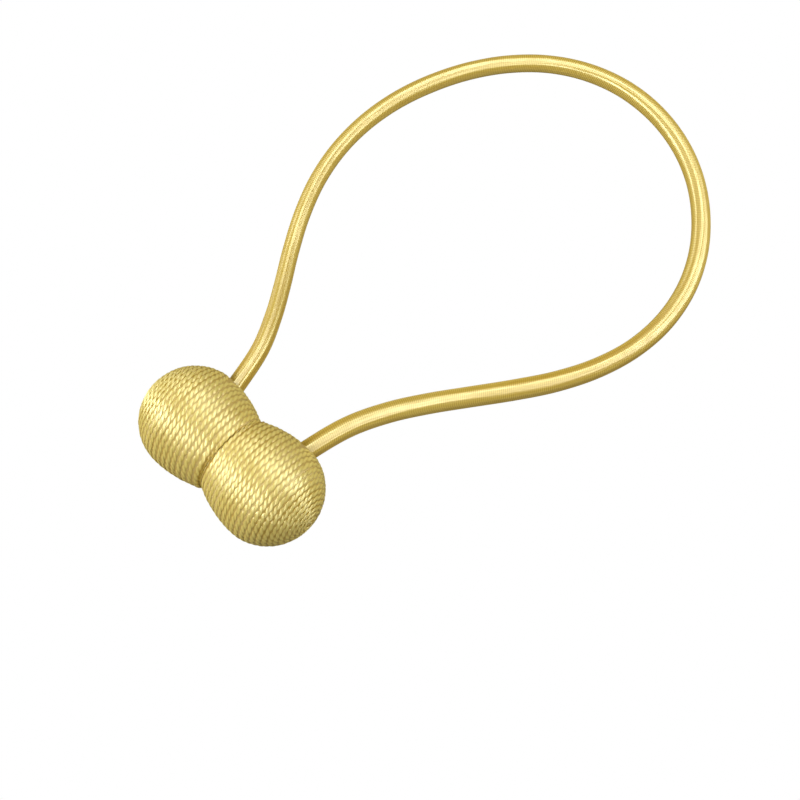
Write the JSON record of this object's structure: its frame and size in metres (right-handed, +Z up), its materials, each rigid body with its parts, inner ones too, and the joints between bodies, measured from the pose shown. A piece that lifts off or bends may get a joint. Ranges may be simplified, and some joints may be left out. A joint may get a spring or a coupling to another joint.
{
  "type": "magnetic curtain tieback",
  "caption": "Drop-shaped loop of thread-covered cord whose ends go into a pair of thread-wound magnetic balls that snap together to hold a gathered curtain.",
  "frame": {"origin": "on the surface that the part lies on, under the place where the two balls meet", "axes": "+X from the first ball to the second through their magnets, +Y towards the cord loop, +Z up"},
  "size_m": [0.1316, 0.2152, 0.0343],
  "materials": {
    "ball_thread": "shiny two-ply twisted thread, wound",
    "cord_thread": "satin thread, wound crossways"
  },
  "bodies": {
    "root": {"ball_left": "ball_thread", "ball_right": "ball_thread", "loop_cord": "cord_thread"}
  },
  "joints": []
}
